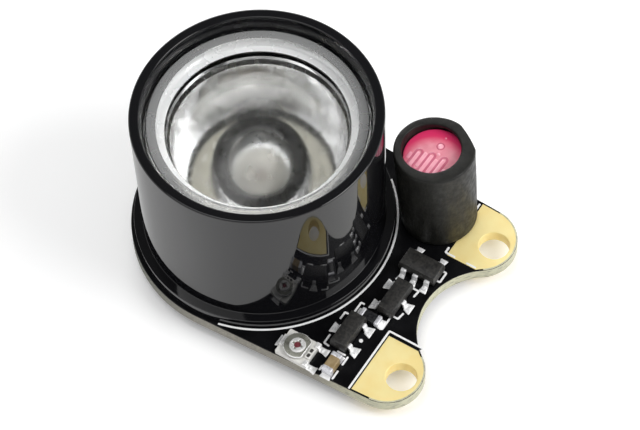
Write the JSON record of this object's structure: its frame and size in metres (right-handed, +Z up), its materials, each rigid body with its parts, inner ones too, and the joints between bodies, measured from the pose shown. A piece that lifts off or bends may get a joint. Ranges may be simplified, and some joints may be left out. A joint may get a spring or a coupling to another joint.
{
  "type": "infrared illuminator",
  "caption": "Small infrared light board: an LED under a lens in a black round holder, a light sensor in a sleeve, a trimmer and chips, and two gold screw holes.",
  "frame": {"origin": "midway between the centres of the two screw holes, on the underside of the circuit board", "axes": "+X from the lens axis towards the screw holes, +Y from the trimmer's screw hole to the light sensor's, +Z up out of the board, the way the lens faces"},
  "size_m": [0.0263, 0.019, 0.0148],
  "materials": {
    "board": "glossy black solder mask on glass-fibre board with a bare greyish edge",
    "gold_pad": "pale gold plating",
    "holder_black": "glossy black moulding",
    "lens_clear": "polished clear acrylic",
    "led_white": "white moulding",
    "led_metal": "bright silver plating",
    "led_silicone": "clear silicone",
    "led_chip": "dark semiconductor",
    "sleeve_black": "matte black heat-shrink tube",
    "sensor_face": "pink photocell face under clear lacquer",
    "tinned_wire": "tinned wire",
    "solder": "bright solder",
    "ceramic": "white ceramic",
    "resistive_film": "black resistive film",
    "trimmer_metal": "bright plated metal",
    "chip_mould": "matte black epoxy moulding",
    "tinned_lead": "tin-plated leads",
    "resistor_glaze": "black glaze",
    "capacitor_ceramic": "tan ceramic",
    "end_metal": "tinned end caps"
  },
  "bodies": {
    "board": {"circuit_board": "board", "contact_pad_trimmer_side": "gold_pad", "contact_pad_sensor_side": "gold_pad", "lens_holder": "holder_black", "lens": "lens_clear", "led_body": "led_white", "led_slug": "led_metal", "led_leads": "led_metal", "led_dome": "led_silicone", "led_die": "led_chip", "sensor_sleeve": "sleeve_black", "sensor_disc": "sensor_face", "sensor_leads": "tinned_wire", "sensor_solder": "solder", "solder_joints": "solder", "trimmer_base": "ceramic", "trimmer_track": "resistive_film", "trimmer_terminals": "trimmer_metal", "driver_chip": "chip_mould", "switch_transistor": "chip_mould", "sense_transistor": "chip_mould", "driver_chip_leads": "tinned_lead", "switch_transistor_leads": "tinned_lead", "sense_transistor_leads": "tinned_lead", "resistor_body": "resistor_glaze", "capacitor_body": "capacitor_ceramic", "resistor_caps": "end_metal", "capacitor_caps": "end_metal"},
    "rotor": {"trimmer_rotor": "trimmer_metal"}
  },
  "joints": [
    {"name": "trimmer_turn", "type": "hinge", "parent": "board", "child": "rotor", "pos_m": [-0.00728, -0.00815, 0.0015], "axis": [0, 0, 1], "range_deg": [-120, 120]}
  ]
}
